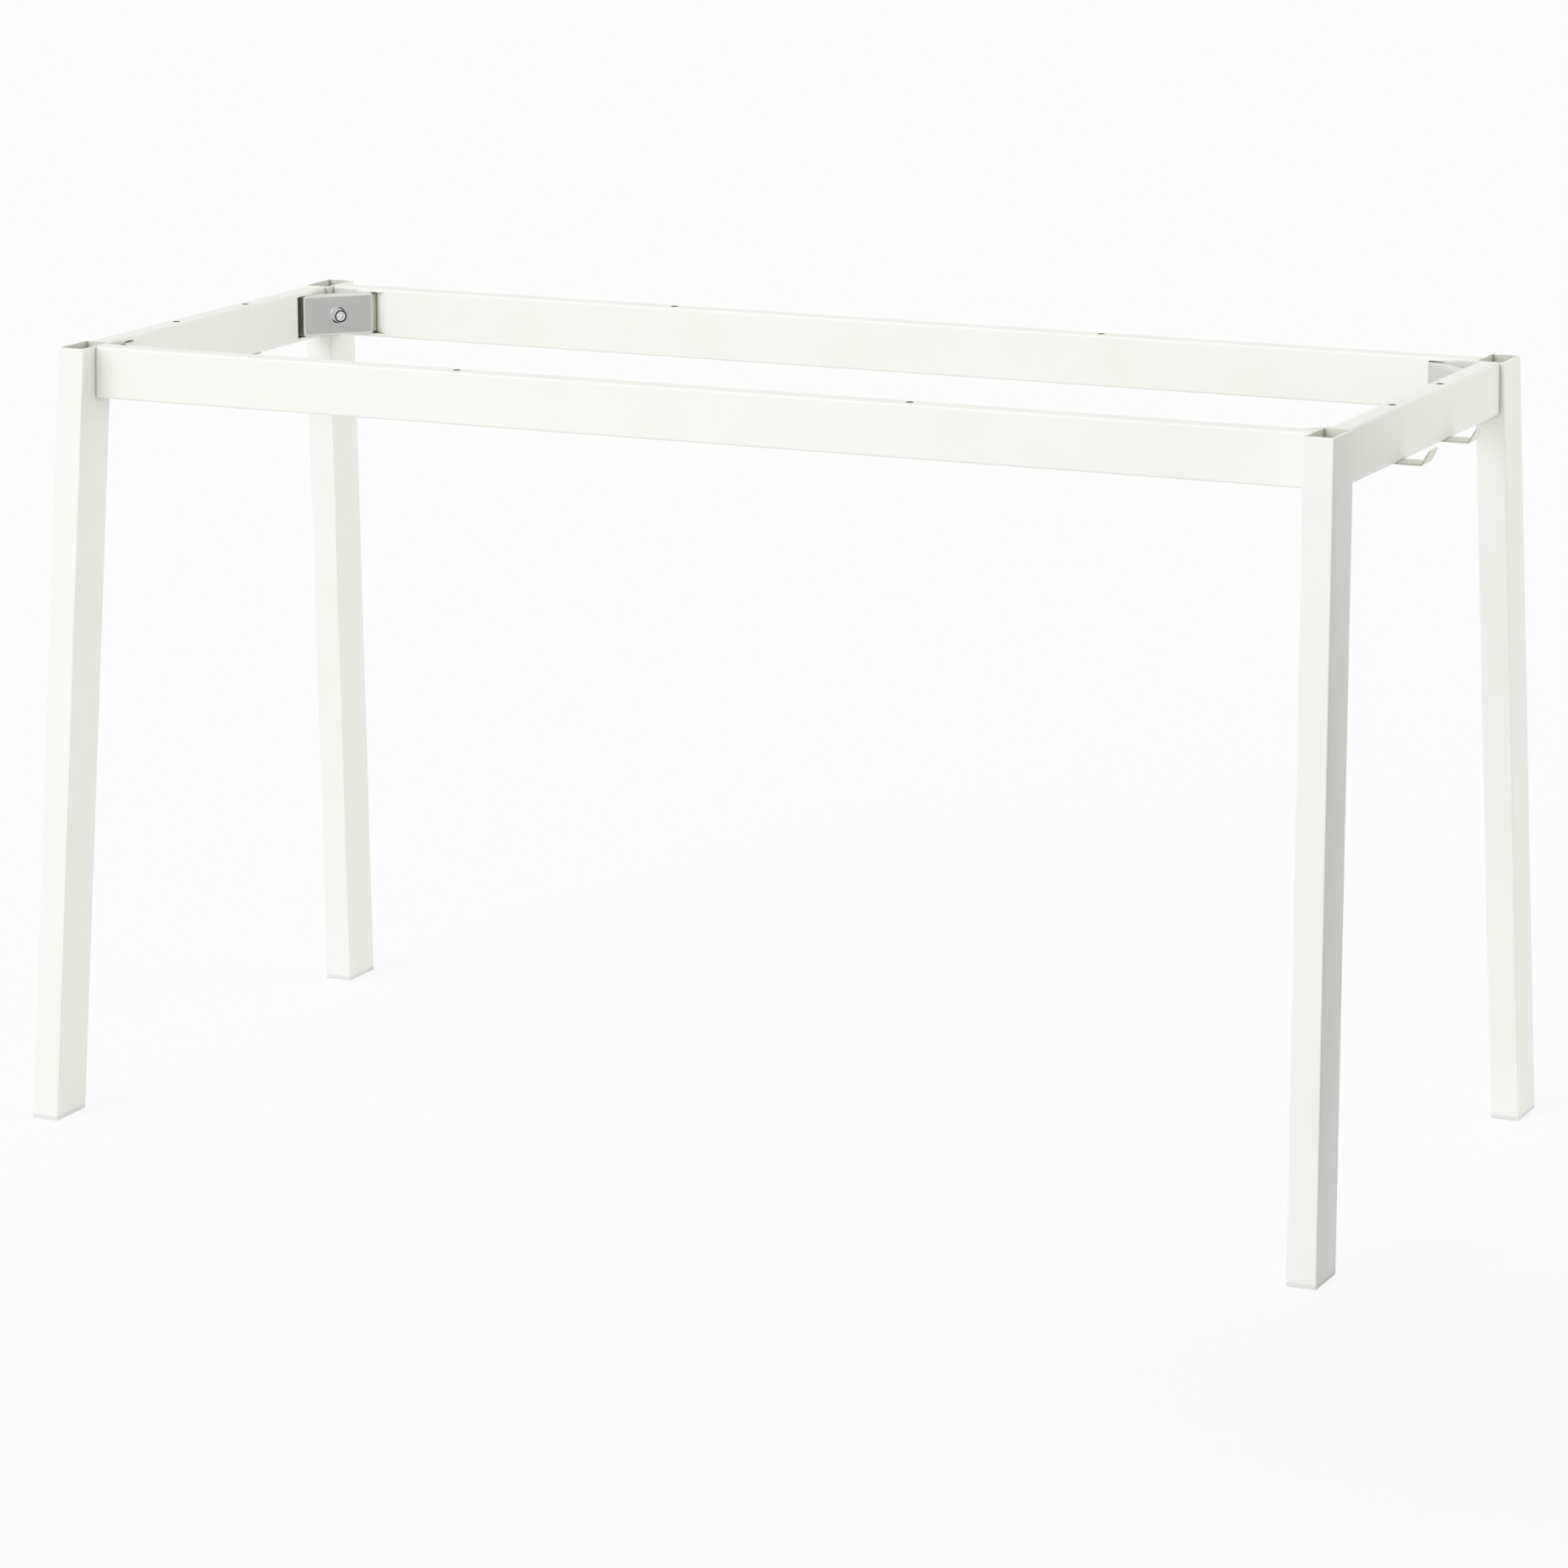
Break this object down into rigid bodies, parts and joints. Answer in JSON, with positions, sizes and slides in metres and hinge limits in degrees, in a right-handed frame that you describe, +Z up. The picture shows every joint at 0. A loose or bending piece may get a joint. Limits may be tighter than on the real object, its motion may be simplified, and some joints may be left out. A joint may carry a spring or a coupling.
{
  "type": "table frame",
  "caption": "Steel table underframe that bolts together: splayed rectangular tube legs, tube rails drilled for a top, corner brackets, side hooks and plastic foot caps.",
  "frame": {"origin": "on the floor, midway between the feet", "axes": "+X along the table, +Y across it towards the rear, +Z up from the floor"},
  "size_m": [1.2826, 0.6158, 0.72],
  "materials": {
    "white_paint": "satin white powder coat",
    "zinc_sheet": "satin zinc plate",
    "bright_zinc": "bright zinc plate",
    "plain_steel": "plain steel",
    "foot_plastic": "moulded pale grey"
  },
  "bodies": {
    "root": {"leg_front_left": "white_paint", "leg_front_right": "white_paint", "leg_rear_left": "white_paint", "leg_rear_right": "white_paint", "rail_front": "white_paint", "rail_rear": "white_paint", "rail_left": "white_paint", "rail_right": "white_paint", "hook_left_front": "white_paint", "hook_left_rear": "white_paint", "hook_right_front": "white_paint", "hook_right_rear": "white_paint", "bracket_front_left": "zinc_sheet", "bracket_front_right": "zinc_sheet", "bracket_rear_left": "zinc_sheet", "bracket_rear_right": "zinc_sheet", "nut_plate_front_left": "plain_steel", "nut_plate_front_right": "plain_steel", "nut_plate_rear_left": "plain_steel", "nut_plate_rear_right": "plain_steel", "corner_bolts": "bright_zinc", "corner_washers": "bright_zinc", "foot_front_left": "foot_plastic", "foot_front_right": "foot_plastic", "foot_rear_left": "foot_plastic", "foot_rear_right": "foot_plastic"}
  },
  "joints": []
}
